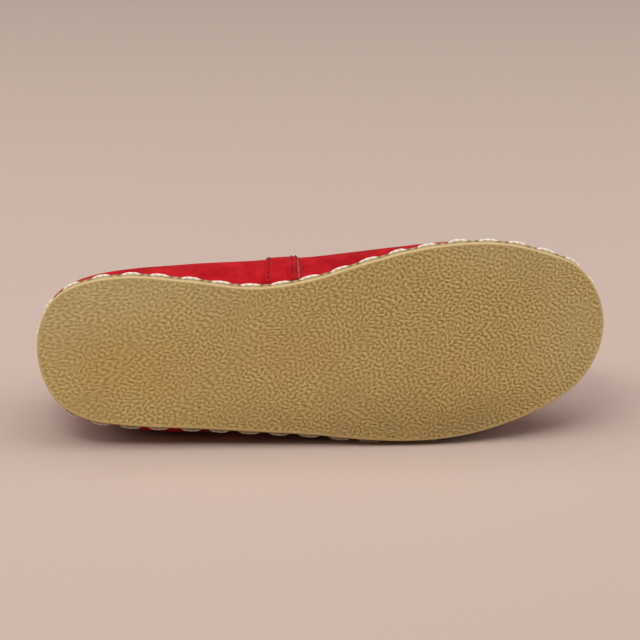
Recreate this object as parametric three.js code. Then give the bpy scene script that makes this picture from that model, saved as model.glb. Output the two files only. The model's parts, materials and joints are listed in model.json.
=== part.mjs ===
// A left slip-on shoe: nubuck upper hand-sewn to a leather midsole over a crepe rubber outsole.
// It is drawn standing, in millimetres: x runs from heel to toe, +y is the outer (lateral) side and z is up
// from the tread. At the end it is laid on its outer side, where it comes to rest on sole edge and upper.
import * as THREE from "three";
import { mergeVertices } from "three/addons/utils/BufferGeometryUtils.js";

// Driving sizes
const LENGTH = 262; // outsole, heel to toe
const OUTSOLE_THICK = 4.7; // crepe rubber sheet
const EDGE_ROUND = 1.7; // rounding of the outsole's lower edge
const MIDSOLE_THICK = 3; // leather
const MIDSOLE_STEP = 1; // how far the midsole stands out past the outsole
const INSOLE_THICK = 2.5;
const GAP = 0.3; // between pieces that lie on each other
const WALL = 2.2; // upper with its lining
const FEATHER_INSET = 1; // foot of the upper, inside the outsole's outline
const INSOLE_INSET = 0.6; // insole, inside the foot of the upper's wall
const TOE_SPRING = 6; // rise of the toe tip off the floor
const SPRING_FROM = 170; // where the sole starts to rise

// The topline: an oval from the back of the heel to the throat
const COLLAR = {
  back: 6,
  throat: 140,
  medial: 29,
  lateral: 35,
  egg: 0.18,
  heelUp: 57,
  sideUp: 50,
  throatUp: 63,
};
// The crest of the vamp, from the throat to the top of the toe
const CREST = [
  { along: 140, side: -2.5, up: 63 },
  { along: 182, side: -6.5, up: 50 },
  { along: 227, side: -11.5, up: 37.5 },
];
const THROAT_FOOT = 172; // where the wall that ends at the throat starts on the sole
const TOE_FAN_FOOT = 243; // past here all walls run up to the top of the toe
const COLLAR_LEAD = 1.3; // keeps the walls upright along the quarters

// Outline of the outsole: distance from the long axis to the inner and the outer edge
const SOLE_LINE = [
  { along: 0, medial: 2.4, lateral: -2.4 },
  { along: 8, medial: 24.5, lateral: 22.5 },
  { along: 22, medial: 32.4, lateral: 31.6 },
  { along: 45, medial: 35.3, lateral: 35 },
  { along: 72, medial: 33, lateral: 36.2 },
  { along: 102, medial: 30, lateral: 37.9 },
  { along: 126, medial: 33.6, lateral: 39.3 },
  { along: 150, medial: 40.9, lateral: 41.7 },
  { along: 172, medial: 46.9, lateral: 42.5 },
  { along: 195, medial: 50.2, lateral: 40.4 },
  { along: 215, medial: 49.9, lateral: 35.2 },
  { along: 235, medial: 45.2, lateral: 26.6 },
  { along: 250, medial: 38.4, lateral: 16.4 },
  { along: LENGTH, medial: 11.8, lateral: -11.8 },
];

// How the wall climbs from the sole on each side: flare outwards and rise of its foot, then lean from upright
// and reach of its top. The soft outer wall lies flat along the floor.
const MEDIAL_WALL = [
  { along: 0, flare: 6, rise: 20, lean: 12, reach: 18 },
  { along: 25, flare: 5, rise: 18, lean: 14, reach: 18 },
  { along: 50, flare: 6.5, rise: 17, lean: 14, reach: 18 },
  { along: 80, flare: 12, rise: 17, lean: 13, reach: 18 },
  { along: 107, flare: 18.5, rise: 17, lean: 15, reach: 18 },
  { along: 125, flare: 17, rise: 19, lean: 28, reach: 18 },
  { along: 150, flare: 10.2, rise: 23, lean: 62, reach: 20 },
  { along: 172, flare: 4.9, rise: 25, lean: 90, reach: 24 },
  { along: 215, flare: 1.5, rise: 18, lean: 90, reach: 25 },
  { along: 243, flare: 1.5, rise: 14, lean: 90, reach: 22 },
  { along: LENGTH, flare: 1.5, rise: 12, lean: 90, reach: 20 },
];
const LATERAL_WALL = [
  { along: 0, flare: 6, rise: 20, lean: 12, reach: 18 },
  { along: 25, flare: 12.5, rise: 9, lean: 12, reach: 24 },
  { along: 50, flare: 14.5, rise: 6, lean: 12, reach: 29 },
  { along: 80, flare: 11, rise: 6, lean: 12, reach: 29 },
  { along: 107, flare: 3.5, rise: 9, lean: 14, reach: 24 },
  { along: 125, flare: 1.5, rise: 13, lean: 24, reach: 20 },
  { along: 150, flare: 1, rise: 18, lean: 62, reach: 18 },
  { along: 172, flare: 0.5, rise: 21, lean: 90, reach: 22 },
  { along: 215, flare: 1.5, rise: 18, lean: 90, reach: 24 },
  { along: 243, flare: 1.5, rise: 14, lean: 90, reach: 22 },
  { along: LENGTH, flare: 1.5, rise: 12, lean: 90, reach: 20 },
];

// Side bands over the joint of vamp and quarter, between two walls
const BAND = { from: 107, to: 125, thick: 1.2, lowest: 0.04, highest: 0.97 };

// Fineness of the facets
const RIM_STEPS = 44; // along each side of the sole
const COLLAR_STEPS = 32; // walls along each side, from the heel to the throat
const VAMP_STEPS = 22; // and from the throat to the toe
const WALL_ROWS = 15; // rows up each wall
const BAND_STEPS = 4;

// Weights, for the pose at rest
const DENSITY = { outsole: 0.95, midsole: 0.9, insole: 0.6, upper: 0.75, band: 0.75 };
const LAID_OVER = THREE.MathUtils.degToRad(-100); // first guess of the turn about the long axis

const MATERIALS = {
  crepe: new THREE.MeshStandardMaterial({ color: "#b08d52", roughness: 0.75, metalness: 0 }),
  leather: new THREE.MeshStandardMaterial({ color: "#9a8262", roughness: 0.8, metalness: 0 }),
  lining: new THREE.MeshStandardMaterial({ color: "#c9a877", roughness: 0.7, metalness: 0 }),
  nubuck: new THREE.MeshStandardMaterial({ color: "#c01a26", roughness: 0.95, metalness: 0 }),
};

// One column of a table as a smooth function of the turn round the shoe
function column(rows, name, ending = THREE.ZeroCurvatureEnding, place = (row) => turnAt(row.along)) {
  const curve = new THREE.CubicInterpolant(rows.map(place), rows.map((row) => row[name]), 1);
  curve.settings = { endingStart: ending, endingEnd: ending };
  return (at) => curve.evaluate(at)[0];
}

// The turn is 0 at the heel tip and PI at the toe tip, so equal steps crowd where the outline is round.
function turnAt(along) {
  return Math.acos(1 - (2 * along) / LENGTH);
}

const soleSide = { medial: column(SOLE_LINE, "medial"), lateral: column(SOLE_LINE, "lateral") };

// A point of the sole's outline: turns below 0 are on the medial side
function outlineAt(turn) {
  const along = (LENGTH / 2) * (1 - Math.cos(turn));
  const side = turn < 0 ? -soleSide.medial(-turn) : soleSide.lateral(turn);
  return new THREE.Vector2(along, side);
}

// The outline's outward direction
function outwardAt(turn) {
  const nudge = 1e-3;
  const ahead = outlineAt(Math.min(turn + nudge, Math.PI));
  const way = ahead.sub(outlineAt(Math.max(turn - nudge, -Math.PI))).normalize();
  return new THREE.Vector2(-way.y, way.x);
}

function springAt(along) {
  const share = Math.max(0, along - SPRING_FROM) / (LENGTH - SPRING_FROM);
  return TOE_SPRING * share ** 2;
}

// A point of the outline moved outwards and up, on the sprung sole
function rimPoint(turn, outset, up) {
  const { x, y } = outlineAt(turn).addScaledVector(outwardAt(turn), outset);
  return new THREE.Vector3(x, y, up + springAt(x));
}

// Triangles gathered by their corners, made one closed geometry
function geometryOf(triangles) {
  const positions = triangles.flatMap((corners) => corners.flatMap((corner) => corner.toArray()));
  const loose = new THREE.BufferGeometry();
  loose.setAttribute("position", new THREE.Float32BufferAttribute(positions, 3));
  return mergeVertices(loose, 1e-3);
}

// A quad as two triangles, leaving out a corner that two ends share
function quad(a, b, c, d) {
  const same = (p, q) => p.distanceToSquared(q) < 1e-8;
  const halves = [
    [a, b, c],
    [a, c, d],
  ];
  return halves.filter(([p, q, r]) => !same(p, q) && !same(q, r) && !same(r, p));
}

// A flat layer of the sole: rings from bottom to top, closed by strips from side to side
function layer(profile) {
  const turns = Array.from({ length: 2 * RIM_STEPS }, (_, i) => (Math.PI * (i - RIM_STEPS)) / RIM_STEPS);
  const rings = profile.map(({ outset, up }) => turns.map((turn) => rimPoint(turn, outset, up)));
  const around = turns.length;
  const triangles = [];
  for (let row = 0; row + 1 < rings.length; row++) {
    for (let i = 0; i < around; i++) {
      const next = (i + 1) % around;
      triangles.push(...quad(rings[row][next], rings[row][i], rings[row + 1][i], rings[row + 1][next]));
    }
  }
  const bottom = rings[0];
  const top = rings[rings.length - 1];
  for (let i = 0; i < RIM_STEPS; i++) {
    const medial = [RIM_STEPS - i, RIM_STEPS - i - 1];
    const lateral = [RIM_STEPS + i, (RIM_STEPS + i + 1) % around];
    triangles.push(...quad(bottom[medial[0]], bottom[lateral[0]], bottom[lateral[1]], bottom[medial[1]]));
    triangles.push(...quad(top[medial[0]], top[medial[1]], top[lateral[1]], top[lateral[0]]));
  }
  return geometryOf(triangles);
}

const wallColumns = (rows) => ({
  flare: column(rows, "flare", THREE.ZeroSlopeEnding),
  rise: column(rows, "rise", THREE.ZeroSlopeEnding),
  lean: column(rows, "lean", THREE.ZeroSlopeEnding),
  reach: column(rows, "reach", THREE.ZeroSlopeEnding),
});
const medialWall = wallColumns(MEDIAL_WALL);
const lateralWall = wallColumns(LATERAL_WALL);
const crestSide = column(CREST, "side", THREE.ZeroCurvatureEnding, (row) => row.along);
const crestUp = column(CREST, "up", THREE.ZeroCurvatureEnding, (row) => row.along);
const FEATHER_UP = OUTSOLE_THICK + GAP + MIDSOLE_THICK + GAP; // foot of the upper

// Where a wall ends: on the collar's oval, or on the crest in front of the throat
function wallTop(turn) {
  const size = Math.abs(turn);
  const throatTurn = turnAt(THROAT_FOOT);
  if (size <= throatTurn) {
    const round = Math.PI * (size / throatTurn) ** COLLAR_LEAD;
    const forward = (1 - Math.cos(round)) / 2;
    const half = turn < 0 ? -COLLAR.medial : COLLAR.lateral;
    const along = THREE.MathUtils.lerp(COLLAR.back, COLLAR.throat, forward);
    const side = half * Math.sin(round) * (1 - COLLAR.egg * Math.cos(round)) + CREST[0].side * forward;
    const toHeel = (COLLAR.heelUp - COLLAR.sideUp) * (1 - forward) ** 3;
    const toThroat = (COLLAR.throatUp - COLLAR.sideUp) * forward ** 3;
    return new THREE.Vector3(along, side, COLLAR.sideUp + toHeel + toThroat);
  }
  const fanTurn = turnAt(TOE_FAN_FOOT);
  const share = Math.min(1, (size - throatTurn) / (fanTurn - throatTurn));
  const toe = CREST.at(-1).along;
  const along = THREE.MathUtils.lerp(COLLAR.throat, toe, Math.sin((Math.PI / 2) * share));
  return new THREE.Vector3(along, crestSide(along), crestUp(along));
}

// The upper's outer face: a wall at each turn, from the sole (0) to its top (1)
function wallAt(turn) {
  const size = Math.abs(turn);
  const side = turn < 0 ? medialWall : lateralWall;
  const out = outwardAt(turn);
  const outward = new THREE.Vector3(out.x, out.y, 0);
  const upward = new THREE.Vector3(0, 0, 1);
  const foot = rimPoint(turn, -FEATHER_INSET, FEATHER_UP);
  const top = wallTop(turn);
  const lean = THREE.MathUtils.degToRad(side.lean(size));
  const reach = side.reach(size);
  const nearest = THREE.MathUtils.clamp(top.x, CREST[0].along + 1, CREST.at(-1).along - 1);
  const slope = (crestUp(nearest + 1) - crestUp(nearest - 1)) / 2;
  const fall = slope * out.x * Math.sin(lean) - Math.cos(lean);
  const low = foot.clone();
  low.addScaledVector(outward, side.flare(size)).addScaledVector(upward, side.rise(size));
  const high = top.clone();
  high.addScaledVector(outward, reach * Math.sin(lean)).addScaledVector(upward, reach * fall);
  return new THREE.CubicBezierCurve3(foot, low, high, top);
}

// A grid of points on the upper's outer face, one column of points for each turn
function wallGrid(turns, lowest, highest, rows) {
  return turns.map((turn) => {
    const wall = wallAt(turn);
    const share = (j) => THREE.MathUtils.lerp(lowest, highest, j / rows);
    return Array.from({ length: rows + 1 }, (_, j) => wall.getPoint(share(j)));
  });
}

// The faces of a grid, seen from outside
function gridFaces(grid, closed) {
  const triangles = [];
  for (let i = 0; i + 1 < grid.length + (closed ? 1 : 0); i++) {
    const here = grid[i];
    const next = grid[(i + 1) % grid.length];
    for (let j = 0; j + 1 < here.length; j++) {
      triangles.push(...quad(next[j], here[j], here[j + 1], next[j + 1]));
    }
  }
  return triangles;
}

// A sheet made a closed shell between two distances from it, with its open edges walled
function shell(triangles, outside, inside) {
  const sheet = geometryOf(triangles);
  sheet.computeVertexNormals();
  const { position, normal } = sheet.attributes;
  const at = (i, distance) =>
    new THREE.Vector3()
      .fromBufferAttribute(position, i)
      .addScaledVector(new THREE.Vector3().fromBufferAttribute(normal, i), distance);
  const outer = Array.from({ length: position.count }, (_, i) => at(i, outside));
  const inner = Array.from({ length: position.count }, (_, i) => at(i, inside));
  const index = sheet.index.array;
  const faces = [];
  const openEdges = new Map();
  for (let f = 0; f < index.length; f += 3) {
    const [a, b, c] = index.subarray(f, f + 3);
    faces.push([outer[a], outer[b], outer[c]], [inner[a], inner[c], inner[b]]);
    for (const [p, q] of [[a, b], [b, c], [c, a]]) {
      if (!openEdges.delete(`${q} ${p}`)) openEdges.set(`${p} ${q}`, [p, q]);
    }
  }
  for (const [p, q] of openEdges.values()) faces.push(...quad(outer[q], outer[p], inner[p], inner[q]));
  return geometryOf(faces);
}

function upperGeometry() {
  const throatTurn = turnAt(THROAT_FOOT);
  const steps = (from, to, count) => Array.from({ length: count }, (_, i) => from + ((to - from) * i) / count);
  const lateral = [...steps(0, throatTurn, COLLAR_STEPS), ...steps(throatTurn, Math.PI, VAMP_STEPS)];
  const medial = [...steps(-Math.PI, -throatTurn, VAMP_STEPS), ...steps(-throatTurn, 0, COLLAR_STEPS)];
  return shell(gridFaces(wallGrid([...medial, ...lateral], 0, 1, WALL_ROWS), true), 0, -WALL);
}

function bandGeometry(sign) {
  const ends = [turnAt(BAND.from), turnAt(BAND.to)];
  const turns = Array.from({ length: BAND_STEPS + 1 }, (_, i) => {
    return sign * THREE.MathUtils.lerp(ends[0], ends[1], (sign > 0 ? i : BAND_STEPS - i) / BAND_STEPS);
  });
  const grid = wallGrid(turns, BAND.lowest, BAND.highest, WALL_ROWS);
  return shell(gridFaces(grid, false), GAP + BAND.thick, GAP);
}

function outsoleGeometry() {
  const profile = [
    { outset: -EDGE_ROUND, up: 0 },
    { outset: -0.3 * EDGE_ROUND, up: 0.3 * EDGE_ROUND },
    { outset: 0, up: EDGE_ROUND },
    { outset: 0, up: OUTSOLE_THICK },
  ];
  return layer(profile);
}

function midsoleGeometry() {
  const bottom = OUTSOLE_THICK + GAP;
  const chamfer = 0.5;
  const profile = [
    { outset: MIDSOLE_STEP, up: bottom },
    { outset: MIDSOLE_STEP, up: bottom + MIDSOLE_THICK - chamfer },
    { outset: MIDSOLE_STEP - chamfer, up: bottom + MIDSOLE_THICK },
  ];
  return layer(profile);
}

function insoleGeometry() {
  const outset = -FEATHER_INSET - WALL - INSOLE_INSET;
  const profile = [
    { outset, up: FEATHER_UP },
    { outset, up: FEATHER_UP + INSOLE_THICK },
  ];
  return layer(profile);
}

// Volume and centre of a closed geometry, from the tetrahedra under its faces
function bulk(geometry) {
  const { position } = geometry.attributes;
  const corner = (i) => new THREE.Vector3().fromBufferAttribute(position, geometry.index.array[i]);
  const moment = new THREE.Vector3();
  let volume = 0;
  for (let f = 0; f < geometry.index.count; f += 3) {
    const [a, b, c] = [corner(f), corner(f + 1), corner(f + 2)];
    const part = a.dot(b.clone().cross(c)) / 6;
    volume += part;
    moment.addScaledVector(a.add(b).add(c), part / 4);
  }
  return { volume, centre: moment.divideScalar(volume) };
}

// The turn that brings the weight lowest, searched from lying on the outer side: roll, then pitch
function turnAtRest(points, centre) {
  const poseOf = (roll, pitch) => new THREE.Quaternion().setFromEuler(new THREE.Euler(roll, pitch, 0, "YXZ"));
  const heightOf = (roll, pitch) => {
    const down = new THREE.Vector3(0, 0, -1).applyQuaternion(poseOf(roll, pitch).invert());
    return Math.max(...points.map((point) => point.dot(down))) - centre.dot(down);
  };
  let best = { roll: LAID_OVER, pitch: 0 };
  let lowest = heightOf(best.roll, best.pitch);
  const ways = 24;
  for (let step = 0.05; step > 1e-6; step *= 0.6) {
    for (let moved = true; moved; ) {
      moved = false;
      for (let i = 0; i < ways; i++) {
        const angle = (2 * Math.PI * i) / ways;
        const trial = { roll: best.roll + step * Math.cos(angle), pitch: best.pitch + step * Math.sin(angle) };
        const height = heightOf(trial.roll, trial.pitch);
        if (height < lowest - 1e-9) {
          best = trial;
          lowest = height;
          moved = true;
        }
      }
    }
  }
  return poseOf(best.roll, best.pitch);
}

const shoe = new THREE.Group();
const pieces = [
  { name: "outsole", geometry: outsoleGeometry(), material: MATERIALS.crepe, density: DENSITY.outsole },
  { name: "midsole", geometry: midsoleGeometry(), material: MATERIALS.leather, density: DENSITY.midsole },
  { name: "insole", geometry: insoleGeometry(), material: MATERIALS.lining, density: DENSITY.insole },
  { name: "upper", geometry: upperGeometry(), material: MATERIALS.nubuck, density: DENSITY.upper },
  { name: "side_band_medial", geometry: bandGeometry(-1), material: MATERIALS.nubuck, density: DENSITY.band },
  { name: "side_band_lateral", geometry: bandGeometry(1), material: MATERIALS.nubuck, density: DENSITY.band },
];
const weightCentre = new THREE.Vector3();
const touchPoints = [];
let weight = 0;
for (const { name, geometry, material, density } of pieces) {
  const mesh = new THREE.Mesh(geometry, material);
  mesh.name = name;
  shoe.add(mesh);
  const { volume, centre } = bulk(geometry);
  weightCentre.addScaledVector(centre, volume * density);
  weight += volume * density;
  const { position } = geometry.attributes;
  for (let i = 0; i < position.count; i++) {
    touchPoints.push(new THREE.Vector3().fromBufferAttribute(position, i));
  }
}
shoe.quaternion.copy(turnAtRest(touchPoints, weightCentre.divideScalar(weight)));

// The origin is on the floor under the middle of the shoe.
const box = new THREE.Box3().setFromObject(shoe, true);
const middle = box.getCenter(new THREE.Vector3());
shoe.position.set(-middle.x, -middle.y, -box.min.z);

const part = new THREE.Group();
part.add(shoe);
export default part;
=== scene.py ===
"""A left slip-on shoe lying on its outer side: red nubuck, sewn to a leather midsole on crepe rubber."""
import json
import math

import bpy
import numpy as np
from mathutils import Matrix, Vector
from mathutils.bvhtree import BVHTree
from mathutils.kdtree import KDTree

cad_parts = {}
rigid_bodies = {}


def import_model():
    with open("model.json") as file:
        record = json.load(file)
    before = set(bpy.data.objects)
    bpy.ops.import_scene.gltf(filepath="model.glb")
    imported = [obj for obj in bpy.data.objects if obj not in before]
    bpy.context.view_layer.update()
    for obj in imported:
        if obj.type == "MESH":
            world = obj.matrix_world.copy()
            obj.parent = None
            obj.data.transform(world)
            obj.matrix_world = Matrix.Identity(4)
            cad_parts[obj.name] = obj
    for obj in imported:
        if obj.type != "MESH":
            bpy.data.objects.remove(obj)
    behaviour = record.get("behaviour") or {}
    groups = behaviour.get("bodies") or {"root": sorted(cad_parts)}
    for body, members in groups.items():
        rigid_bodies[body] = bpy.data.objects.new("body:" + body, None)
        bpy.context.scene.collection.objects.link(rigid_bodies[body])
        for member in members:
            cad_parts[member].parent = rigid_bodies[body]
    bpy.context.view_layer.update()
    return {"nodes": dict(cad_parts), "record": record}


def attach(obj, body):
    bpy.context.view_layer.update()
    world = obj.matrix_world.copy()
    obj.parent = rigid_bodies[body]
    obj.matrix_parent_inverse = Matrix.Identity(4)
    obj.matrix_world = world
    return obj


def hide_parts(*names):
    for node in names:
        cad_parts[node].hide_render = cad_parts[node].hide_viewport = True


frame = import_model()

# Sizes in millimetres on the shoe as it stands: x from heel to toe, +y to its outer side, z up from the tread
MM = 0.001
LENGTH = 262
OUTSOLE_THICK = 4.7
TOE_SPRING = 6
SPRING_FROM = 170
TREAD_MARK = 60  # where the record's mark lies on the tread

# The crepe tread: ridges like short worms, drawn out towards the heel, that fade before the rounded edge
CREPE_CELL = 0.46
CREPE_PITCH = 1.72
CREPE_DEPTH = 0.5
CREPE_WAVES = 56
CREPE_STRENGTH = (0.82, 1.15)  # at the heel and at the toe
CREPE_LONG, CREPE_NARROW = 1.22, 1.12  # ridges drawn out along the shoe and pressed together across it
CREPE_LONGER = [(10, 0.35), (240, -0.2)]  # more at the heel, less at the toe
CREPE_REACH = 45
CREPE_FADE = (0.4, 1.5)  # in from the edge
EDGE_TURN = 0.7  # where the tread starts to turn up
OUTSOLE_EDGE = [(-0.4, 0.06), (-0.16, 0.22), (-0.04, 0.48), (0, 1.1), (0, 3.2), (-0.12, OUTSOLE_THICK)]
PATCHES = {  # along, across, half length, half width, strength
    # dust_and_painted_sheen: paler, greyer patches at the inner heel, the heel end and round the toe, partly
    # dust and partly painted light and sheen, brightest towards the inner heel
    "dust_and_painted_sheen": [(18, -30, 70, 20, 0.9), (8, 0, 12, 30, 0.35), (252, -8, 22, 34, 0.55), (215, -46, 45, 12, 0.5)],
    "warm": [(42, 6, 26, 15, 0.8), (118, 0, 22, 14, 0.6), (196, 12, 26, 16, 0.45)],
    # shade: painted shade, darker along the outer edge of the toe and the waist, the side nearer the floor as
    # the shoe lies
    "shade": [(200, 44, 75, 22, 0.9), (95, 40, 60, 12, 0.5)],
}

# The hand-sewn edge: long stitches of thick thread on the side of the midsole
STITCH_COUNT = 44
STITCH_START = 8.4  # from the back of the heel, on the inner side, to the first needle hole
STITCH_SPAN = 10.3  # what shows, with a little at both ends inside the leather
STITCH_HIGH = 0.95  # half its height
STITCH_DEEP = 0.85  # half its depth
STITCH_UP = 5.9
SEAT_INNER, SEAT_OUTER = 0.45, 2.1  # thread's middle, out from the outsole, on the inner and outer side

OUTER_TO = 196  # the edge stands out on the outer side from the heel to here
TOE_TUCK = 0.7  # further in round the tip of the toe

# The midsole's edge past the outsole, and the insole's rows: in from the outsole's edge, up
EDGE_INNER, EDGE_OUTER_MORE = 0.4, 1.1
EDGE_WAVE = 0.15  # drawn in by each stitch
EDGE_TUCK = 0.7  # further in at the toe
HOLE_REACH = 1.2  # dark round a needle hole
INSOLE_FOOT = (-3.9, 8.3)
INSOLE_ROWS = [(-3.75, 8.7), (-3.75, 10.3), (-4.3, 10.75), (-5.6, 10.8)]

# The upper: dents at the stitches, and soft creases across the vamp where the toes bend it
PUCKER = 0.45
COLLAR_ABOVE = 30  # edges above this belong to the topline
TOPLINE_ROW = 2.6  # stitches below the edge
CREASES = [  # along, slant, inner end, outer end, depth, half width
    (176, 5, -40, 26, 0.7, 3.2),
    (188, 7, -42, 22, 0.9, 3.6),
    (201, 4, -38, 14, 0.6, 3.0),
]

# The side bands: rows of fine stitches, in from the front and back edge
BAND_GAP, BAND_THICK = 0.3, 1.2  # of its solid
BAND_RAISED, BAND_SUNK = 0.8, 0.6  # over and under the face of the upper
BAND_FOOT, BAND_TURN_IN = 8.4, 3  # its lower end, drawn in to the sole
BAND_BACK_SLANT, BAND_FRONT_SLANT = 1.2, 3.7  # the lower end goes back by this
BAND_LIP = 1.7  # slope of the cut front edge
FRONT_ROWS = (2.3, 4.2)
BACK_ROW = 1.3
FINE_PITCH = 2.4
FINE_SHOWN = 1.75
FINE_THICK = 0.3  # half

FLOOR_CLEAR = 0.1  # least height of the midsole and the thread as the shoe lies

# Where the shoe lies, from the mark on its tread
mark = frame["record"]["mounts"][0]
facing = Vector(mark["axis"])
LAID = (
    Matrix.Translation(Vector(mark["pos_m"]))
    @ Matrix.Rotation(math.atan2(facing.x, facing.z), 4, "Y")
    @ Matrix.Rotation(math.atan2(facing.y, -math.hypot(facing.x, facing.z)), 4, "X")
    @ Matrix.Translation((-TREAD_MARK * MM, 0, 0))
    @ Matrix.Scale(MM, 4)
)
STOOD = LAID.inverted()


def linear(hex_colour):
    """An sRGB hex colour as linear red, green, blue and alpha."""
    parts = [int(hex_colour[i : i + 2], 16) / 255 for i in (1, 3, 5)]
    return [p / 12.92 if p <= 0.04045 else ((p + 0.055) / 1.055) ** 2.4 for p in parts] + [1.0]


def per_mm(size):
    """The scale of a pattern whose features are this many millimetres across."""
    return 1 / (size * MM)


def put(tree, kind, inputs, **settings):
    """Adds a node with its settings; an input is a value or the output that feeds it."""
    node = tree.nodes.new(kind)
    for name, value in settings.items():
        setattr(node, name, value)
    for socket, value in inputs.items():
        if isinstance(value, bpy.types.NodeSocket):
            tree.links.new(value, node.inputs[socket])
        else:
            node.inputs[socket].default_value = value
    return node


def start_material(name, **sockets):
    """A material with values on its shader, ready for its pattern."""
    material = bpy.data.materials.new(name)
    material.use_nodes = True
    tree = material.node_tree
    shader = tree.nodes["Principled BSDF"]
    for socket, value in sockets.items():
        shader.inputs[socket.replace("_", " ")].default_value = value
    place = put(tree, "ShaderNodeTexCoord", {}).outputs["Object"]
    return material, tree, shader, place


# Pieces on the bench


def alone(piece):
    bpy.ops.object.select_all(action="DESELECT")
    piece.select_set(True)
    bpy.context.view_layer.objects.active = piece
    return piece


def started(name):
    """The primitive just added, under its own name."""
    piece = bpy.context.object
    piece.name = piece.data.name = name
    return piece


def corners(piece):
    flat = np.empty(3 * len(piece.data.vertices), np.float32)
    piece.data.vertices.foreach_get("co", flat)
    return flat.reshape(-1, 3).astype(float)


def set_corners(piece, points):
    piece.data.vertices.foreach_set("co", np.asarray(points, np.float32).ravel())
    piece.data.update()


def chosen(piece):
    """Which corners are selected."""
    flags = np.empty(len(piece.data.vertices), bool)
    piece.data.vertices.foreach_get("select", flags)
    return flags


def edit(piece, mode="VERT"):
    alone(piece)
    bpy.ops.object.mode_set(mode="EDIT")
    bpy.ops.mesh.select_mode(type=mode)


def bench():
    bpy.ops.object.mode_set(mode="OBJECT")


def choose_faces(piece, flags):
    """Selects these faces only, in edit mode."""
    edit(piece, "FACE")
    bpy.ops.mesh.select_all(action="DESELECT")
    bench()
    piece.data.polygons.foreach_set("select", flags)
    edit(piece, "FACE")


def chosen_faces(piece):
    flags = np.empty(len(piece.data.polygons), bool)
    piece.data.polygons.foreach_get("select", flags)
    return flags


def face_centres(piece):
    flat = np.empty(3 * len(piece.data.polygons), np.float32)
    piece.data.polygons.foreach_get("center", flat)
    return flat.reshape(-1, 3).astype(float)


def apply(piece, kind, **settings):
    """Adds a modifier to a piece and applies it."""
    alone(piece)
    modifier = piece.modifiers.new(kind.title(), kind)
    for name, value in settings.items():
        setattr(modifier, name, value)
    bpy.ops.object.modifier_apply(modifier=modifier.name)


def subdivide(piece, levels):
    apply(piece, "SUBSURF", levels=levels, render_levels=levels)


def mark_corners(piece, name, values):
    """Keeps a number at each corner for the piece's material."""
    layer = piece.data.attributes.new(name, "FLOAT", "POINT")
    layer.data.foreach_set("value", np.asarray(values, np.float32))


def stood_copy(node, name):
    """A merged copy of a solid of the frame, stood up in millimetres, in quads."""
    bpy.ops.object.select_all(action="DESELECT")
    piece = bpy.data.objects.new(name, frame["nodes"][node].data.copy())
    bpy.context.scene.collection.objects.link(piece)
    piece.data.transform(STOOD)
    piece.data.materials.clear()
    edit(piece)
    bpy.ops.mesh.select_all(action="SELECT")
    bpy.ops.mesh.remove_doubles(threshold=0.005)
    bpy.ops.mesh.tris_convert_to_quads(face_threshold=math.radians(60), shape_threshold=math.radians(80))
    bench()
    return piece


def lay_down(piece, slot, material, *nodes):
    """A finished piece goes where the shoe lies, in metres, for the solids that it stands for."""
    piece.data.transform(LAID)
    if material:
        piece.data.materials.clear()
        piece.data.materials.append(material)
    alone(piece)
    bpy.ops.object.shade_smooth()
    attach(piece, "root")
    if nodes:
        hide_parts(*nodes)
    return piece


def join(pieces, name):
    bpy.ops.object.select_all(action="DESELECT")
    for piece in pieces:
        piece.select_set(True)
    bpy.context.view_layer.objects.active = pieces[0]
    bpy.ops.object.join()
    return started(name)


# The outline of the sole


def toe_spring(along):
    return TOE_SPRING * (np.maximum(0, along - SPRING_FROM) / (LENGTH - SPRING_FROM)) ** 2


def smooth_loop(points, step):
    """A smooth closed loop through the points, in equal steps."""
    before, after, beyond = np.roll(points, 1, 0), np.roll(points, -1, 0), np.roll(points, -2, 0)
    share = np.linspace(0, 1, 40, endpoint=False)[:, None, None]
    fine = 0.5 * (
        2 * points
        + (after - before) * share
        + (2 * before - 5 * points + 4 * after - beyond) * share**2
        + (3 * points - before - 3 * after + beyond) * share**3
    )
    fine = fine.transpose(1, 0, 2).reshape(-1, points.shape[1])
    gone = np.concatenate([[0], np.cumsum(np.linalg.norm(np.roll(fine, -1, 0) - fine, axis=1))])
    count = round(gone[-1] / step)
    stations = np.linspace(0, gone[-1], count, endpoint=False)
    closed = np.vstack([fine, fine[:1]])
    return np.stack([np.interp(stations, gone, column) for column in closed.T], 1), gone[-1] / count


def sole_outline():
    """The outsole's outline from its solid, anticlockwise from the heel."""
    solid = np.array([STOOD @ v.co for v in frame["nodes"]["outsole"].data.vertices])
    top = solid[solid[:, 2] - toe_spring(solid[:, 0]) > OUTSOLE_THICK - 0.05, :2]
    ring = np.unique(top.round(2), axis=0)
    turn = np.arctan2(ring[:, 1] - ring[:, 1].mean(), ring[:, 0] - LENGTH / 2)
    return smooth_loop(ring[np.argsort(turn)], 0.25)


RIM, RIM_STEP = sole_outline()
RIM_WAY = np.roll(RIM, -1, 0) - np.roll(RIM, 1, 0)
RIM_WAY /= np.linalg.norm(RIM_WAY, axis=1)[:, None]
RIM_OUT = np.stack([RIM_WAY[:, 1], -RIM_WAY[:, 0]], 1)
RIM_LENGTH = RIM_STEP * len(RIM)
rim_tree = KDTree(len(RIM))
for number, (x, y) in enumerate(RIM):
    rim_tree.insert((x, y, 0), number)
rim_tree.balance()


def near_rim(points):
    """For each point, how far round the outline it lies, and how far outside."""
    found = np.array([rim_tree.find((x, y, 0))[1] for x, y in points[:, :2]])
    away = points[:, :2] - RIM[found]
    outside = np.linalg.norm(away, axis=1) * np.sign((away * RIM_OUT[found]).sum(1))
    return found * RIM_STEP + (away * RIM_WAY[found]).sum(1), outside


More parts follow.
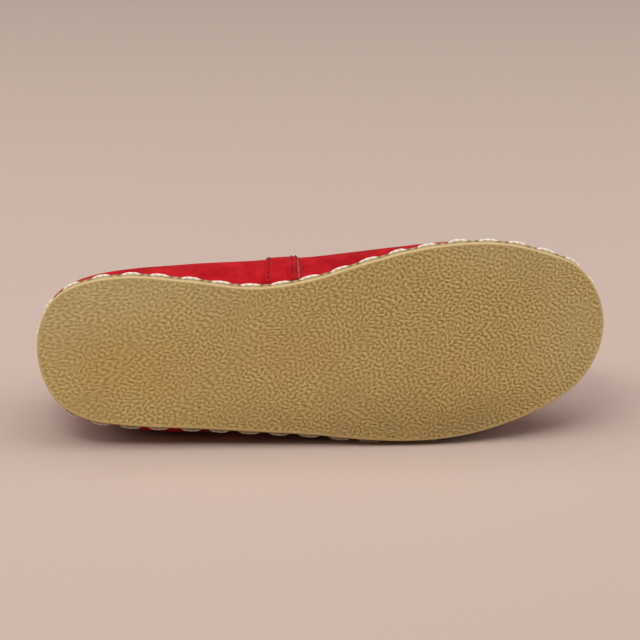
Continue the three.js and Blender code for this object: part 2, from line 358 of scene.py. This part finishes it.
def rim_at(round_it, outset, up):
    """Points on the outline, moved outwards and up."""
    place = np.asarray(round_it) / RIM_STEP
    low = np.floor(place).astype(int)
    share = (place - low)[..., None]
    here, there = low % len(RIM), (low + 1) % len(RIM)
    point = RIM[here] * (1 - share) + RIM[there] * share
    out = RIM_OUT[here] * (1 - share) + RIM_OUT[there] * share
    flat = point + out * np.asarray(outset)[..., None]
    return np.concatenate([flat, np.broadcast_to(np.asarray(up)[..., None], flat[..., :1].shape)], -1)


def stitch_beat(round_it):
    """Counts the stitches round the edge: whole numbers lie between two of them."""
    return (np.asarray(round_it) - STITCH_START) / RIM_LENGTH * STITCH_COUNT


def rim_place(round_it):
    return np.floor(np.asarray(round_it) / RIM_STEP).astype(int) % len(RIM)


def toe_share(round_it):
    """1 round the tip of the toe, where the edge is tucked behind the sole, and less round the heel."""
    forward = RIM_OUT[rim_place(round_it), 0]
    return np.clip((forward - 0.35) / 0.4, 0, 1) + 0.45 * np.clip((-forward - 0.5) / 0.4, 0, 1)


def outer_share(round_it):
    """1 on the outer side of the shoe as far as the ball, and 0 on the inner side."""
    place = rim_place(round_it)
    behind = np.clip((OUTER_TO - RIM[place, 0]) / 16, 0, 1)
    return np.clip((RIM_OUT[place, 1] - 0.5) / 0.4, 0, 1) * behind


def draw_up(piece, rows):
    """Draws a selected border on, row by row, each at its distance from the outline and its height."""
    for outset, up in rows:
        edit(piece, "EDGE")
        bpy.ops.mesh.extrude_edges_move()
        bench()
        moving = chosen(piece)
        points = corners(piece)
        round_it, _ = near_rim(points[moving])
        shift = outset(round_it) if callable(outset) else np.full(len(round_it), float(outset))
        points[moving] = rim_at(round_it, shift, np.full(len(round_it), float(up)))
        set_corners(piece, points)


def close_top(piece):
    """Closes a selected border, and cuts the new face across where the sole springs."""
    edit(piece, "EDGE")
    bpy.ops.mesh.edge_face_add()
    for along in range(SPRING_FROM, LENGTH - 4, 7):
        bpy.ops.mesh.bisect(plane_co=(along, 0, 0), plane_no=(1, 0, 0))
        bench()
        high = corners(piece)[:, 2].max() - 0.01
        flags = face_centres(piece)[:, 2] > high
        choose_faces(piece, flags)
    bench()


# The crepe rubber sole


def crepe_relief(points):
    """Height of the crepe from 0 in its valleys to 1 on its ridges."""
    chance = np.random.default_rng(11)
    x, y = points[:, 0], points[:, 1]
    stations = np.arange(-10, LENGTH + 10.0)
    drawn_out = np.full(len(stations), CREPE_LONG)
    for along, more in CREPE_LONGER:
        drawn_out += more * np.exp(-(((stations - along) / CREPE_REACH) ** 2))
    across = np.interp(x, stations, np.cumsum(1 / drawn_out))
    y = CREPE_NARROW * y
    for reach, swing in ((34, 2.2), (21, 1.5), (13, 0.7)):
        heading, phase = chance.uniform(0, 2 * np.pi, 2)
        wave = swing * np.sin((x * np.cos(heading) + y * np.sin(heading)) * 2 * np.pi / reach + phase)
        across, y = across + wave * np.sin(heading), y - wave * np.cos(heading)
    heading = chance.uniform(0, np.pi, CREPE_WAVES)
    rate = 2 * np.pi / (CREPE_PITCH * chance.normal(1, 0.27, CREPE_WAVES).clip(0.6, 1.7))
    phase = chance.uniform(0, 2 * np.pi, CREPE_WAVES)
    field = np.zeros(len(points))
    for turn, speed, start in zip(heading, rate, phase):
        field += np.cos(speed * (across * np.cos(turn) + y * np.sin(turn)) + start)
    field *= math.sqrt(2 / CREPE_WAVES)
    strength = np.interp(x, (0, LENGTH), CREPE_STRENGTH)
    return 0.5 + 0.5 * strength * np.tanh(1.05 * (field + 0.1))


def crepe_outsole():
    long, wide = round((LENGTH + 4) / CREPE_CELL), round(100 / CREPE_CELL)
    bpy.ops.object.select_all(action="DESELECT")
    bpy.ops.mesh.primitive_grid_add(x_subdivisions=long, y_subdivisions=wide, size=1)
    piece = started("outsole_crepe")
    edit(piece)
    bpy.ops.mesh.select_all(action="SELECT")
    bpy.ops.transform.resize(value=(long * CREPE_CELL, wide * CREPE_CELL, 1))
    bpy.ops.transform.translate(value=(LENGTH / 2, -4, 0))
    bpy.ops.mesh.flip_normals()
    bench()
    _, outside = near_rim(face_centres(piece))
    choose_faces(piece, outside > -EDGE_TURN - 0.1)
    bpy.ops.mesh.delete(type="FACE")
    bpy.ops.mesh.select_mode(type="EDGE")
    bpy.ops.mesh.select_all(action="DESELECT")
    bpy.ops.mesh.select_non_manifold(extend=False)
    bench()
    border = chosen(piece)
    points = corners(piece)
    round_it, _ = near_rim(points[border])
    points[border] = rim_at(round_it, np.full(len(round_it), -EDGE_TURN), np.zeros(len(round_it)))
    set_corners(piece, points)
    draw_up(piece, OUTSOLE_EDGE)
    close_top(piece)
    points = corners(piece)
    _, outside = near_rim(points)
    fade = np.clip((-outside - CREPE_FADE[0]) / (CREPE_FADE[1] - CREPE_FADE[0]), 0, 1)
    fade = fade * fade * (3 - 2 * fade) * (points[:, 2] < 0.01)
    relief = crepe_relief(points)
    # The ridge height also sets the colour: painted highlight on the ridges, painted shade in the valleys
    mark_corners(piece, "ridge", 1 - fade * (1 - relief))
    mark_corners(piece, "edge", np.clip((outside + 1.6) / 1.6, 0, 1))
    for name, patches in PATCHES.items():
        amount = np.zeros(len(points))
        for along, aside, half_long, half_wide, strength in patches:
            off = ((points[:, 0] - along) / half_long) ** 2 + ((points[:, 1] - aside) / half_wide) ** 2
            amount += strength * np.exp(-off)
        mark_corners(piece, name, np.minimum(amount, 1))
    points[:, 2] += fade * CREPE_DEPTH * (0.85 - relief) + toe_spring(points[:, 0])
    set_corners(piece, points)
    edit(piece)
    bpy.ops.mesh.select_all(action="SELECT")
    bpy.ops.mesh.normals_make_consistent(inside=False)
    bench()
    return piece


def crepe_rubber():
    """Natural crepe rubber pressed into wrinkles: waxy and honey brown, its colour painted paler and greyer
    on the ridges as a highlight and darker in the valleys as shade.
    """
    material, tree, shader, place = start_material(
        "natural crepe rubber", Roughness=0.48, IOR=1.52, Specular_IOR_Level=0.5
    )
    ridge = put(tree, "ShaderNodeAttribute", {}, attribute_name="ridge").outputs["Fac"]
    edge = put(tree, "ShaderNodeAttribute", {}, attribute_name="edge").outputs["Fac"]
    grain = put(
        tree, "ShaderNodeTexNoise", {"Vector": place, "Scale": per_mm(0.9), "Detail": 4.0}
    ).outputs["Fac"]
    clouds = put(
        tree, "ShaderNodeTexNoise", {"Vector": place, "Scale": per_mm(26), "Detail": 3.0}
    ).outputs["Fac"]
    cloud = put(
        tree, "ShaderNodeMapRange", {"Value": clouds, "From Min": 0.36, "From Max": 0.64, "To Max": 0.3}
    ).outputs["Result"]
    # Painted shade in the valleys and a painted highlight on the ridges, over the rubber's own honey tone
    colour = put(
        tree, "ShaderNodeMix", {0: ridge, 6: linear("#ae8f4a"), 7: linear("#e8cb88")}, data_type="RGBA"
    ).outputs[2]
    # warm is the rubber's own tone; dust_and_painted_sheen is partly dust and partly painted light and sheen;
    # shade is painted shade
    tints = (("warm", "#d8a75f", 0.36), ("dust_and_painted_sheen", "#e8d9a8", 0.34), ("shade", "#7c5f2c", 0.36))
    for name, tint, most in tints:
        amount = put(tree, "ShaderNodeAttribute", {}, attribute_name=name).outputs["Fac"]
        uneven = put(tree, "ShaderNodeMath", {0: amount, 1: cloud}, operation="ADD").outputs[0]
        share = put(
            tree, "ShaderNodeMapRange", {"Value": uneven, "From Min": 0.12, "To Max": most}
        ).outputs["Result"]
        colour = put(
            tree, "ShaderNodeMix", {0: share, 6: colour, 7: linear(tint)}, data_type="RGBA"
        ).outputs[2]
    wall = put(
        tree, "ShaderNodeMapRange", {"Value": edge, "From Min": 0.3, "To Max": 0.75}
    ).outputs["Result"]
    colour = put(
        tree, "ShaderNodeMix", {0: wall, 6: colour, 7: linear("#c4ac7c")}, data_type="RGBA"
    ).outputs[2]
    bump = put(
        tree, "ShaderNodeBump", {"Height": grain, "Distance": 0.12 * MM, "Strength": 0.5}
    )
    tree.links.new(colour, shader.inputs["Base Color"])
    tree.links.new(bump.outputs["Normal"], shader.inputs["Normal"])
    return material


# The leather midsole and insole


def midsole_edge(round_it):
    """How far the midsole stands out: less where a stitch pulls it in."""
    side = outer_share(round_it)
    beat = np.cos(2 * np.pi * stitch_beat(round_it))
    toe = toe_share(round_it)
    wave = EDGE_WAVE * beat * (1 - toe)
    return EDGE_INNER + EDGE_OUTER_MORE * side - wave - EDGE_TUCK * toe


def rim_layer(name, rows, first, steps):
    """A layer of the sole, from a ring on the outline drawn up row by row."""
    bpy.ops.object.select_all(action="DESELECT")
    bpy.ops.mesh.primitive_circle_add(vertices=steps, radius=1)
    piece = started(name)
    round_it = np.arange(steps) * RIM_LENGTH / steps
    outset, up = first
    shift = outset(round_it) if callable(outset) else np.full(steps, float(outset))
    set_corners(piece, rim_at(round_it, shift, np.full(steps, float(up))))
    edit(piece, "EDGE")
    bpy.ops.mesh.select_all(action="SELECT")
    bpy.ops.mesh.edge_face_add()
    for along in range(SPRING_FROM, LENGTH - 4, 7):
        bpy.ops.mesh.select_all(action="SELECT")
        bpy.ops.mesh.bisect(plane_co=(along, 0, 0), plane_no=(1, 0, 0))
    bpy.ops.mesh.select_all(action="DESELECT")
    bpy.ops.mesh.select_non_manifold(extend=False)
    bench()
    draw_up(piece, rows)
    close_top(piece)
    points = corners(piece)
    points[:, 2] += toe_spring(points[:, 0])
    set_corners(piece, points)
    edit(piece)
    bpy.ops.mesh.select_all(action="SELECT")
    bpy.ops.mesh.normals_make_consistent(inside=False)
    bench()
    return piece


def leather_midsole():
    def in_from_edge(depth):
        return lambda round_it: midsole_edge(round_it) - depth

    rows = [(midsole_edge, 5.35), (midsole_edge, 6.1), (midsole_edge, 6.8)]
    rows += [(midsole_edge, 7.5), (in_from_edge(0.35), 7.95), (in_from_edge(0.8), 8.05)]
    piece = rim_layer("midsole_leather", rows, (in_from_edge(0.3), 5.0), 1280)
    points = corners(piece)
    round_it, outside = near_rim(points)
    pitch = RIM_LENGTH / STITCH_COUNT
    from_gap = np.abs((stitch_beat(round_it) + 0.5) % 1 - 0.5) * pitch
    from_hole = from_gap - (pitch - STITCH_SPAN) / 2
    hole = np.exp(-((from_hole / HOLE_REACH) ** 2)) * (outside > -0.6)
    mark_corners(piece, "hole", hole)
    return piece


def cut_leather():
    """Cut edge of vegetable-tanned sole leather: grey tan, layered fibres, dark where the needle went in."""
    material, tree, shader, place = start_material("cut edge of sole leather", Roughness=0.85, IOR=1.5)
    hole = put(tree, "ShaderNodeAttribute", {}, attribute_name="hole").outputs["Fac"]
    fibres = put(
        tree, "ShaderNodeTexNoise", {"Vector": place, "Scale": per_mm(2.2), "Detail": 5.0}
    ).outputs["Fac"]
    tone = put(
        tree, "ShaderNodeMix", {0: fibres, 6: linear("#9c8762"), 7: linear("#d8c49e")}, data_type="RGBA"
    ).outputs[2]
    colour = put(
        tree, "ShaderNodeMix", {0: hole, 6: tone, 7: linear("#76633f")}, data_type="RGBA"
    ).outputs[2]
    bump = put(tree, "ShaderNodeBump", {"Height": fibres, "Distance": 0.25 * MM, "Strength": 0.7})
    tree.links.new(colour, shader.inputs["Base Color"])
    tree.links.new(bump.outputs["Normal"], shader.inputs["Normal"])
    return material


def leather_insole():
    return rim_layer("insole_leather", INSOLE_ROWS, INSOLE_FOOT, 320)


def lining_leather(name, light, dark):
    """Smooth vegetable-tanned leather: pale tan, satin, with fine pores and a faint marbling."""
    material, tree, shader, place = start_material(name, Roughness=0.52, IOR=1.5)
    marble = put(
        tree, "ShaderNodeTexNoise", {"Vector": place, "Scale": per_mm(26), "Detail": 4.0}
    ).outputs["Fac"]
    pores = put(tree, "ShaderNodeTexVoronoi", {"Vector": place, "Scale": per_mm(0.9)}).outputs["Distance"]
    colour = put(
        tree, "ShaderNodeMix", {0: marble, 6: linear(dark), 7: linear(light)}, data_type="RGBA"
    ).outputs[2]
    bump = put(tree, "ShaderNodeBump", {"Height": pores, "Distance": 0.08 * MM, "Strength": 0.5})
    tree.links.new(colour, shader.inputs["Base Color"])
    tree.links.new(bump.outputs["Normal"], shader.inputs["Normal"])
    return material


# The upper


def nubuck_upper(nubuck, lining):
    piece = stood_copy("upper", "upper_nubuck")
    centres = face_centres(piece)
    heel = centres[:, 0].argmin()
    choose_faces(piece, np.arange(len(centres)) == heel)
    bpy.ops.mesh.faces_select_linked_flat(sharpness=math.radians(55))
    bench()
    sheet = chosen_faces(piece)
    edit(piece, "FACE")
    bpy.ops.mesh.select_more()
    bench()
    outside = chosen_faces(piece)
    topline = topline_row(piece, sheet, outside & ~sheet)
    piece.data.materials.append(nubuck)
    piece.data.materials.append(lining)
    piece.data.polygons.foreach_set("material_index", np.where(outside, 0, 1))
    subdivide(piece, 2)
    soften(piece)
    return piece, topline


def topline_row(piece, sheet, rims):
    """A line on the outer face, a little below the collar's edge, all round."""
    faces = [np.array(face.vertices) for face in piece.data.polygons]
    points = corners(piece)
    outer = set(np.concatenate([faces[i] for i in np.flatnonzero(sheet)]))
    high = [i for i in np.flatnonzero(rims) if points[faces[i], 2].mean() > COLLAR_ABOVE]
    loop = sorted(outer & set(np.concatenate([faces[i] for i in high])))
    place = {corner: number for number, corner in enumerate(loop)}
    down = np.zeros((len(loop), 3))
    for i in np.flatnonzero(sheet):
        for corner in faces[i]:
            if corner in place:
                down[place[corner]] += points[faces[i]].mean(0) - points[corner]
    down /= np.linalg.norm(down, axis=1)[:, None]
    line = points[loop] + TOPLINE_ROW * down
    middle = line.mean(0)
    order = np.argsort(np.arctan2(line[:, 1] - middle[1], line[:, 0] - middle[0]))
    return smooth_loop(line[order], 0.5)[0]


def soften(piece):
    """Sets the upper on the midsole, draws it in at each stitch and lays its soft creases."""
    points = corners(piece)
    normals = np.empty(points.size, np.float32)
    piece.data.vertices.foreach_get("normal", normals)
    normals = normals.reshape(-1, 3).astype(float)
    round_it, _ = near_rim(points)
    place = np.floor(round_it / RIM_STEP).astype(int) % len(RIM)
    outward = (normals[:, :2] * RIM_OUT[place]).sum(1) > 0
    high = points[:, 2] - toe_spring(points[:, 0]) - 8.3
    beat = 0.5 - 0.5 * np.cos(2 * np.pi * stitch_beat(round_it))
    pucker = PUCKER * beat * np.exp(-((high - 2) / 4.5) ** 2) * outward
    points -= normals * pucker[:, None]
    points[:, 2] -= 0.8 * np.maximum(0, 0.9 - high)
    for along, slant, inner, outer, deep, half in CREASES:
        middle, reach = (inner + outer) / 2, (outer - inner) / 2
        across = np.clip(1 - np.abs(points[:, 1] - middle) / reach, 0, 1)
        off = points[:, 0] - along - slant * (points[:, 1] - middle) / reach
        trough = np.exp(-((off / half) ** 2)) - 0.45 * np.exp(-(((off - 2 * half) / (1.3 * half)) ** 2))
        points[:, 2] -= deep * trough * across * (points[:, 2] > 24)
    set_corners(piece, points)


def nubuck_leather():
    """Red nubuck, buffed on the grain side: a short nap that lies in lighter and darker strokes, no gloss."""
    material, tree, shader, place = start_material(
        "red nubuck leather",
        Roughness=0.95,
        IOR=1.45,
        Specular_IOR_Level=0.15,
        Sheen_Weight=0.09,
        Sheen_Roughness=0.4,
    )
    shader.inputs["Sheen Tint"].default_value = linear("#ff9a8c")
    strokes = put(
        tree, "ShaderNodeTexNoise", {"Vector": place, "Scale": per_mm(11), "Detail": 5.0, "Roughness": 0.6}
    ).outputs["Fac"]
    stroke = put(
        tree, "ShaderNodeMapRange", {"Value": strokes, "From Min": 0.31, "From Max": 0.69}
    ).outputs["Result"]
    nap = put(
        tree, "ShaderNodeTexNoise", {"Vector": place, "Scale": per_mm(0.8), "Detail": 4.0}
    ).outputs["Fac"]
    short = put(
        tree, "ShaderNodeMapRange", {"Value": nap, "From Min": 0.35, "From Max": 0.68, "To Max": 0.55}
    ).outputs["Result"]
    lie = put(
        tree, "ShaderNodeMix", {0: stroke, 6: linear("#980613"), 7: linear("#d0222b")}, data_type="RGBA"
    ).outputs[2]
    colour = put(
        tree, "ShaderNodeMix", {0: short, 6: lie, 7: linear("#980614")}, data_type="RGBA"
    ).outputs[2]
    bump = put(tree, "ShaderNodeBump", {"Height": nap, "Distance": 0.15 * MM, "Strength": 0.35})
    tree.links.new(colour, shader.inputs["Base Color"])
    tree.links.new(bump.outputs["Normal"], shader.inputs["Normal"])
    return material


def raw_edge(name, colour):
    """The cut edge of dyed leather: matte fibres, a little off the colour of the face; in a dark colour it
    serves as a painted shadow line.
    """
    material, tree, shader, place = start_material(name, Roughness=0.9, IOR=1.45)
    fibres = put(
        tree, "ShaderNodeTexNoise", {"Vector": place, "Scale": per_mm(0.6), "Detail": 3.0}
    ).outputs["Fac"]
    tone = put(
        tree, "ShaderNodeMix", {0: fibres, 6: linear(colour), 7: linear("#8c1a20")}, data_type="RGBA"
    ).outputs[2]
    tree.links.new(tone, shader.inputs["Base Color"])
    return material


def side_band(node, upper_tree, name, finishes):
    """A band over the joint of vamp and quarter, thinned down on the upper, with its edges cut square."""
    piece = stood_copy(node, name)
    edit(piece, "EDGE")
    bpy.ops.mesh.select_all(action="DESELECT")
    bpy.ops.mesh.edges_select_sharp(sharpness=math.radians(50))
    bpy.ops.transform.edge_crease(value=1)
    bench()
    subdivide(piece, 3)
    points = corners(piece)
    lowest, highest = points[:, 2].min(), points[:, 2].max()
    down = (highest - points[:, 2]) / (highest - lowest)
    forward = (points[:, 0] - points[:, 0].min()) / np.ptp(points[:, 0])
    points[:, 0] -= down * (BAND_BACK_SLANT + (BAND_FRONT_SLANT - BAND_BACK_SLANT) * forward)
    foot = np.clip((lowest + 8 - points[:, 2]) / 8, 0, 1)
    raised = np.empty(len(points))
    for number, point in enumerate(points):
        spot, normal, _, _ = upper_tree.find_nearest(point)
        raised[number] = ((Vector(point) - spot).dot(normal) - BAND_GAP) / BAND_THICK
    points[:, 1] -= np.sign(points[:, 1]) * BAND_TURN_IN * foot**2
    points[:, 2] -= (lowest - BAND_FOOT) * foot
    for number, point in enumerate(points):
        spot, normal, _, _ = upper_tree.find_nearest(point)
        points[number] = spot + normal * (raised[number] * (BAND_RAISED + BAND_SUNK) - BAND_SUNK)
    set_corners(piece, points)
    facing = np.empty(3 * len(piece.data.polygons), np.float32)
    piece.data.polygons.foreach_get("normal", facing)
    front = facing.reshape(-1, 3)[:, 0] > 0.6
    kinds = np.zeros(len(front), np.int32)
    sloped = set()
    # Front faces: the upper part takes the light cut edge (1), the lower part a painted shadow (2), standing
    # in for the dark line of shade in front of the band's edge
    for face in np.flatnonzero(front):
        ends = list(piece.data.polygons[face].vertices)
        kinds[face] = 1 if raised[ends].mean() > 0.75 else 2
        sloped.update(ends)
    sloped = sorted(sloped)
    points[sloped, 0] += BAND_LIP * (1 - raised[sloped])
    set_corners(piece, points)
    for material in finishes:
        piece.data.materials.append(material)
    piece.data.polygons.foreach_set("material_index", kinds)
    apply(piece, "BEVEL", width=0.2, segments=2, limit_method="ANGLE", angle_limit=math.radians(60))
    return piece


def surface(piece):
    return BVHTree.FromPolygons(
        [v.co.copy() for v in piece.data.vertices], [p.vertices[:] for p in piece.data.polygons]
    )


def band_rows(piece, side):
    """The lines of the band's stitch rows, from the sole to the collar, on its outer face."""
    points, tree = corners(piece), surface(piece)
    lowest, highest = points[:, 2].min() + 2.5, points[:, 2].max() - 2.5
    rows = [[] for _ in range(len(FRONT_ROWS) + 1)]
    for up in np.arange(lowest, highest, 0.5):
        near = points[np.abs(points[:, 2] - up) < 1.2, 0]
        stations = [near.max() - inset for inset in FRONT_ROWS] + [near.min() + BACK_ROW]
        for row, along in zip(rows, stations):
            spot = tree.ray_cast(Vector((along, 150 * side, up)), Vector((0, -side, 0)))[0]
            if spot:
                row.append(spot)
    return [(np.array(row), tree) for row in rows]


def fine_stitches(lines):
    """Rows of small machine stitches, each sunk at its ends in the leather that it is sewn on."""
    bpy.ops.object.select_all(action="DESELECT")
    bpy.ops.mesh.primitive_cylinder_add(vertices=6, radius=1, depth=1, end_fill_type="TRIFAN")
    pattern = started("fine_stitch_pattern")
    edit(pattern)
    for share in (-0.42, -0.25, 0, 0.25, 0.42):
        bpy.ops.mesh.select_all(action="SELECT")
        bpy.ops.mesh.bisect(plane_co=(0, 0, share), plane_no=(0, 0, 1))
    bench()
    shape = corners(pattern)
    stitches = []
    for line, tree in lines:
        gone = np.concatenate([[0], np.cumsum(np.linalg.norm(np.diff(line, axis=0), axis=1))])
        for start in np.arange(0.3, gone[-1] - FINE_SHOWN, FINE_PITCH):
            at = start + (shape[:, 2] + 0.5) * FINE_SHOWN
            centre = np.stack([np.interp(at, gone, column) for column in line.T], 1)
            normal = np.array(tree.find_nearest(Vector(centre.mean(0)))[1])
            ends = [np.interp((start, start + FINE_SHOWN), gone, column) for column in line.T]
            way = np.diff(ends, axis=1)[:, 0]
            aside = np.cross(normal, way / np.linalg.norm(way))
            bow = FINE_THICK * (0.55 - 1.6 * np.abs(2 * shape[:, 2]) ** 3)
            above = bow + FINE_THICK * 0.8 * shape[:, 0]
            points = centre + np.outer(above, normal) + np.outer(shape[:, 1] * FINE_THICK, aside)
            stitch = pattern.copy()
            stitch.data = pattern.data.copy()
            bpy.context.scene.collection.objects.link(stitch)
            set_corners(stitch, points)
            stitches.append(stitch)
    bpy.data.objects.remove(pattern)
    piece = join(stitches, "fine_stitching")
    edit(piece)
    bpy.ops.mesh.select_all(action="SELECT")
    bpy.ops.mesh.normals_make_consistent(inside=False)
    bench()
    return piece


# The hand-sewn edge


def edge_stitching():
    bpy.ops.object.select_all(action="DESELECT")
    bpy.ops.mesh.primitive_cylinder_add(vertices=10, radius=1, depth=1, end_fill_type="TRIFAN")
    pattern = started("stitch_pattern")
    edit(pattern)
    for share in np.linspace(-0.47, 0.47, 17):
        bpy.ops.mesh.select_all(action="SELECT")
        bpy.ops.mesh.bisect(plane_co=(0, 0, share), plane_no=(0, 0, 1))
    bench()
    shape = corners(pattern)
    chance = np.random.default_rng(5)
    stitches = []
    for number in range(STITCH_COUNT):
        stitch = pattern.copy()
        stitch.data = pattern.data.copy()
        bpy.context.scene.collection.objects.link(stitch)
        span = STITCH_SPAN * chance.uniform(0.94, 1.08)
        middle = STITCH_START + (number + 0.5) * RIM_LENGTH / STITCH_COUNT + chance.normal(0, 0.35)
        lift = chance.normal(0, 0.08)
        slant = chance.normal(0.35, 0.2)
        gone = 2 * shape[:, 2]
        full = 1 - np.abs(gone) ** 2.6
        thick = 0.42 + 0.58 * full
        round_it = middle + shape[:, 2] * span
        side = outer_share(round_it)
        seat = SEAT_INNER + (SEAT_OUTER - SEAT_INNER) * side - TOE_TUCK * toe_share(round_it)
        deep = STITCH_DEEP * (1 - 0.4 * side) * thick
        outset = seat - 1.1 + (1.1 + lift) * full**0.6 + shape[:, 0] * deep
        up = STITCH_UP + slant * gone + shape[:, 1] * STITCH_HIGH * thick
        points = rim_at(round_it, outset, up)
        points[:, 2] += toe_spring(points[:, 0])
        set_corners(stitch, points)
        stitches.append(stitch)
    bpy.data.objects.remove(pattern)
    piece = join(stitches, "edge_stitching")
    edit(piece)
    bpy.ops.mesh.select_all(action="SELECT")
    bpy.ops.mesh.normals_make_consistent(inside=False)
    bench()
    return piece


def waxed_thread(name, light, dark):
    """Waxed cotton thread: plies twisted together, a dull wax shine on top and shade between the plies."""
    material, tree, shader, _ = start_material(name, Roughness=0.55, IOR=1.45)
    run = put(tree, "ShaderNodeTexCoord", {}).outputs["UV"]
    laid = put(tree, "ShaderNodeMapping", {"Vector": run, "Scale": (1.0, 14.0, 1.0)}).outputs["Vector"]
    plies = put(
        tree,
        "ShaderNodeTexWave",
        {"Vector": laid, "Scale": 0.32},
        wave_type="BANDS",
        bands_direction="DIAGONAL",
    ).outputs["Fac"]
    colour = put(
        tree, "ShaderNodeMix", {0: plies, 6: linear(dark), 7: linear(light)}, data_type="RGBA"
    ).outputs[2]
    bump = put(tree, "ShaderNodeBump", {"Height": plies, "Distance": 0.2 * MM, "Strength": 0.6})
    tree.links.new(colour, shader.inputs["Base Color"])
    tree.links.new(bump.outputs["Normal"], shader.inputs["Normal"])
    return material


# Making the shoe

nubuck = nubuck_leather()
tan_lining = lining_leather("vegetable tanned lining leather", "#d3b58a", "#bd9a6a")

outsole = crepe_outsole()
lay_down(outsole, "crepe_rubber", crepe_rubber(), "outsole")

midsole = leather_midsole()
lay_down(midsole, "midsole_leather", cut_leather(), "midsole")

insole = leather_insole()
insole_tan = lining_leather("vegetable tanned insole leather", "#cda873", "#b58c57")
lay_down(insole, "insole_leather", insole_tan, "insole")

upper, topline = nubuck_upper(nubuck, tan_lining)
upper_tree = surface(upper)
lay_down(upper, "nubuck", None, "upper")

topline = np.array([upper_tree.find_nearest(Vector(point))[0] for point in topline])
lines = [(np.vstack([topline, topline[:1]]), upper_tree)]
cut_edge = raw_edge("cut edge of red nubuck", "#d8524e")
# Painted shadow: the dark lower half of each band's sloped front edge, standing in for the shadow line in
# front of the band
painted_shadow_edge = raw_edge("shaded edge of red nubuck", "#5a0d12")
finishes = (nubuck, cut_edge, painted_shadow_edge)
for name, side in (("medial", -1), ("lateral", 1)):
    band = side_band(f"side_band_{name}", upper_tree, f"side_band_{name}_nubuck", finishes)
    lines += band_rows(band, side)
    lay_down(band, "nubuck", None, f"side_band_{name}")

fine = fine_stitches(lines)
lay_down(fine, "nubuck", waxed_thread("dark red polyester thread", "#5c1016", "#36080c"))

stitching = edge_stitching()
lay_down(stitching, "midsole_leather", waxed_thread("waxed cotton thread", "#f4efe4", "#d9cfba"))
for piece in (midsole, stitching):
    points = corners(piece)
    points[:, 2] = np.maximum(points[:, 2], FLOOR_CLEAR * MM)
    set_corners(piece, points)

# Floor, light and camera

bpy.ops.object.select_all(action="DESELECT")
bpy.ops.mesh.primitive_plane_add(size=8)
floor = started("floor")
paper, tree, shader, place = start_material("matte paper sweep", Roughness=0.95, Specular_IOR_Level=0.1)
shader.inputs["Base Color"].default_value = linear("#c3b1a8")
floor.data.materials.append(paper)

world = bpy.data.worlds.new("studio")
bpy.context.scene.world = world
world.use_nodes = True
world.node_tree.nodes["Background"].inputs["Color"].default_value = linear("#fff6f0")
world.node_tree.nodes["Background"].inputs["Strength"].default_value = 0.04


def softbox(name, place, target, size, watts, colour):
    bpy.ops.object.light_add(type="AREA", location=place)
    lamp = bpy.context.object
    lamp.name = name
    lamp.rotation_euler = (Vector(target) - Vector(place)).to_track_quat("-Z", "Y").to_euler()
    lamp.data.shape = "RECTANGLE"
    lamp.data.size, lamp.data.size_y = size
    lamp.data.energy = watts
    lamp.data.color = linear(colour)[:3]


softbox("overhead", (-0.35, 0.1, 1.3), (-0.35, 0.1, 0), (3.4, 1.5), 27.5, "#fffaf6")
softbox("front", (-0.45, -0.75, 1.6), (-0.05, 0, 0.05), (1.0, 0.3), 7.2, "#fff8f0")
softbox("left", (-1.5, -0.1, 0.7), (-0.1, 0, 0.02), (0.7, 0.7), 5.2, "#fffaf6")
softbox("right", (1.4, 0, 0.6), (0.1, 0, 0.02), (0.7, 0.7), 6.6, "#fffaf6")

CAMERA_RISE = math.radians(25.43)
CAMERA_ROLL = math.radians(-1)
CAMERA_AWAY = 0.95
LENS, SENSOR = 115.7, 36
PICTURE = 640
SHIFT = (-1.1 / PICTURE, 24.1 / PICTURE)
AIM = Vector((0.000134, -0.023363, 0.047114))  # the middle of the outsole
toward = Vector((0, -math.cos(CAMERA_RISE), math.sin(CAMERA_RISE)))
bpy.ops.object.camera_add(location=AIM + toward * CAMERA_AWAY)
camera = bpy.context.object
camera.rotation_euler = (math.pi / 2 - CAMERA_RISE, 0, 0)
camera.rotation_euler = (camera.rotation_euler.to_matrix() @ Matrix.Rotation(CAMERA_ROLL, 3, "Z")).to_euler()
camera.data.lens = LENS
camera.data.sensor_width = SENSOR
camera.data.shift_x, camera.data.shift_y = SHIFT
camera.data.clip_start = 0.05
bpy.context.scene.camera = camera
bpy.context.scene.view_settings.view_transform = "Standard"
